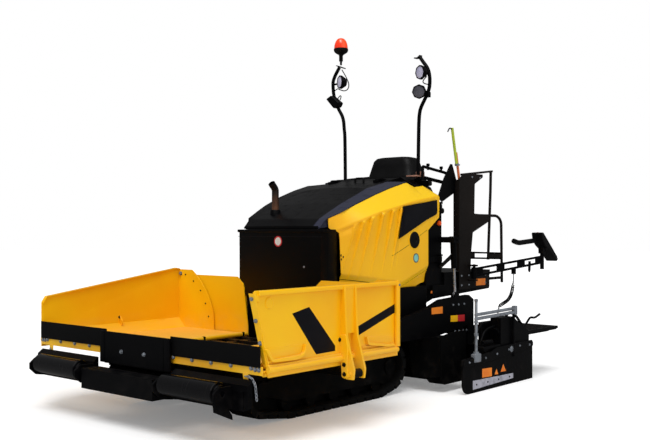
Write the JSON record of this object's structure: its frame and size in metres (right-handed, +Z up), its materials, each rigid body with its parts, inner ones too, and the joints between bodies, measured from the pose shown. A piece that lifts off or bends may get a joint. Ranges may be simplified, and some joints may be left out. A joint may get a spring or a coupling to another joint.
{
  "type": "tracked asphalt paver",
  "caption": "Self-propelled tracked road paver with a folding front hopper, push rollers, hooded engine, open operator platform, towed extending screed and augers.",
  "frame": {"origin": "on the ground, under the middle of the machine's bounding box", "axes": "+Z up, -Y towards the hopper at the front, +X towards the machine's left side"},
  "size_m": [3.39, 5.705, 4.09],
  "materials": {
    "black_paint": "satin",
    "hood_black": "satin",
    "yellow_paint": "gloss",
    "bare_steel": "worn",
    "rod_chrome": "polished",
    "track_rubber": "matte",
    "apron_rubber": "matte",
    "chassis_grey": "satin",
    "seat_cover": "satin",
    "beacon_orange": "gloss",
    "stick_green": "gloss",
    "exhaust_steel": "heat stained",
    "roller_black": "gloss",
    "cable_black": "matte"
  },
  "bodies": {
    "chassis": {"main_frame": "black_paint", "conveyor_nose_guard": "black_paint", "front_housing": "black_paint", "rear_cowl": "black_paint", "operator_platform": "black_paint", "control_console": "black_paint", "seat_base": "black_paint", "platform_column_left": "black_paint", "platform_column_right": "black_paint", "auger_drive": "black_paint", "side_tank_left": "black_paint", "side_tank_right": "black_paint", "light_mast_left": "black_paint", "light_mast_right": "black_paint", "hopper_rear_wall": "yellow_paint", "conveyor": "bare_steel", "track_left": "track_rubber", "track_right": "track_rubber", "track_frame_left": "chassis_grey", "track_frame_right": "chassis_grey", "engine_block": "chassis_grey", "operator_seat": "seat_cover", "beacon": "beacon_orange", "ranging_stick": "stick_green"},
    "hood": {"hood": "hood_black", "exhaust_stack": "exhaust_steel"},
    "wing_left": {"wing_left": "yellow_paint", "wing_apron_left": "apron_rubber"},
    "wing_cylinder_left": {"wing_cylinder_left": "black_paint"},
    "wing_rod_left": {"wing_rod_left": "rod_chrome"},
    "push_roller_left": {"push_roller_left": "roller_black"},
    "side_door_left": {"side_door_left": "yellow_paint"},
    "auger_left": {"auger_left": "bare_steel"},
    "screed_extension_left": {"screed_extension_left": "black_paint"},
    "wing_right": {"wing_right": "yellow_paint", "wing_apron_right": "apron_rubber"},
    "wing_cylinder_right": {"wing_cylinder_right": "black_paint"},
    "wing_rod_right": {"wing_rod_right": "rod_chrome"},
    "push_roller_right": {"push_roller_right": "roller_black"},
    "side_door_right": {"side_door_right": "yellow_paint"},
    "auger_right": {"auger_right": "bare_steel"},
    "screed_extension_right": {"screed_extension_right": "black_paint"},
    "push_beam": {"push_beam": "black_paint"},
    "screed": {"tow_arms": "black_paint", "screed_body": "black_paint"},
    "lift_cylinders": {"lift_cylinders": "black_paint"},
    "lift_rods": {"lift_rods": "rod_chrome"},
    "console_arm": {"console_arm": "black_paint", "control_panel": "black_paint", "control_cable": "cable_black"}
  },
  "joints": [
    {"name": "wing_fold_left", "type": "hinge", "parent": "chassis", "child": "wing_left", "pos_m": [0.45, -2.568, 0.62], "axis": [0, -1, 0], "range_deg": [0, 60]},
    {"name": "wing_cylinder_swing_left", "type": "hinge", "parent": "chassis", "child": "wing_cylinder_left", "pos_m": [0.965, -1.523, 0.5], "axis": [0, -1, 0], "range_deg": [0, 80.75]},
    {"name": "wing_rod_slide_left", "type": "slide", "parent": "wing_cylinder_left", "child": "wing_rod_left", "axis": [1, 0, 0], "range_m": [0, 0.4323]},
    {"name": "push_roller_spin_left", "type": "hinge", "parent": "push_beam", "child": "push_roller_left", "pos_m": [0.925, -2.758, 0.45], "axis": [1, 0, 0], "continuous": true},
    {"name": "side_door_swing_left", "type": "hinge", "parent": "chassis", "child": "side_door_left", "pos_m": [0.846, 1.002, 1.5], "axis": [0, 0, 1], "range_deg": [0, 75]},
    {"name": "auger_spin_left", "type": "hinge", "parent": "chassis", "child": "auger_left", "pos_m": [0.6, 0.732, 0.33], "axis": [1, 0, 0], "continuous": true},
    {"name": "screed_extend_left", "type": "slide", "parent": "screed", "child": "screed_extension_left", "axis": [1, 0, 0], "range_m": [-0.2, 0.25]},
    {"name": "wing_fold_right", "type": "hinge", "parent": "chassis", "child": "wing_right", "pos_m": [-0.45, -2.568, 0.62], "axis": [0, 1, 0], "range_deg": [0, 60]},
    {"name": "wing_cylinder_swing_right", "type": "hinge", "parent": "chassis", "child": "wing_cylinder_right", "pos_m": [-0.965, -1.523, 0.5], "axis": [0, 1, 0], "range_deg": [0, 80.75]},
    {"name": "wing_rod_slide_right", "type": "slide", "parent": "wing_cylinder_right", "child": "wing_rod_right", "axis": [-1, 0, 0], "range_m": [0, 0.4323]},
    {"name": "push_roller_spin_right", "type": "hinge", "parent": "push_beam", "child": "push_roller_right", "pos_m": [-0.925, -2.758, 0.45], "axis": [1, 0, 0], "continuous": true},
    {"name": "side_door_swing_right", "type": "hinge", "parent": "chassis", "child": "side_door_right", "pos_m": [-0.846, 1.002, 1.5], "axis": [0, 0, -1], "range_deg": [0, 75]},
    {"name": "auger_spin_right", "type": "hinge", "parent": "chassis", "child": "auger_right", "pos_m": [-0.6, 0.732, 0.33], "axis": [1, 0, 0], "continuous": true},
    {"name": "screed_extend_right", "type": "slide", "parent": "screed", "child": "screed_extension_right", "axis": [-1, 0, 0], "range_m": [-0.2, 0.25]},
    {"name": "push_beam_swing", "type": "hinge", "parent": "chassis", "child": "push_beam", "pos_m": [0, -2.478, 0.39], "axis": [0, 0, 1], "range_deg": [-5, 5]},
    {"name": "screed_lift", "type": "hinge", "parent": "chassis", "child": "screed", "pos_m": [0, -0.438, 0.64], "axis": [1, 0, 0], "range_deg": [0, 9], "deforming": ["control_cable"]},
    {"name": "lift_cylinder_swing", "type": "hinge", "parent": "chassis", "child": "lift_cylinders", "pos_m": [0, 1.092, 1.62], "axis": [1, 0, 0], "range_deg": [-9.37, 0]},
    {"name": "lift_rod_slide", "type": "slide", "parent": "lift_cylinders", "child": "lift_rods", "axis": [0, 0.0644, -0.9979], "range_m": [-0.2428, 0]},
    {"name": "hood_lift", "type": "hinge", "parent": "chassis", "child": "hood", "pos_m": [0, 0.532, 2.296], "axis": [1, 0, 0], "range_deg": [-50, 0]},
    {"name": "console_arm_swing", "type": "hinge", "parent": "chassis", "child": "console_arm", "pos_m": [0.952, 1.548, 1.23], "axis": [0, 0, -1], "range_deg": [0, 45]}
  ],
  "couplings": [
    {"joint": "wing_cylinder_swing_left", "follows": "wing_fold_left", "ratio": 1.3375},
    {"joint": "wing_rod_slide_left", "follows": "wing_fold_left", "m_per_rad": 0.41095},
    {"joint": "wing_cylinder_swing_right", "follows": "wing_fold_right", "ratio": 1.3375},
    {"joint": "wing_rod_slide_right", "follows": "wing_fold_right", "m_per_rad": 0.41095},
    {"joint": "lift_cylinder_swing", "follows": "screed_lift", "ratio": -1.0074},
    {"joint": "lift_rod_slide", "follows": "screed_lift", "m_per_rad": -1.5329}
  ]
}
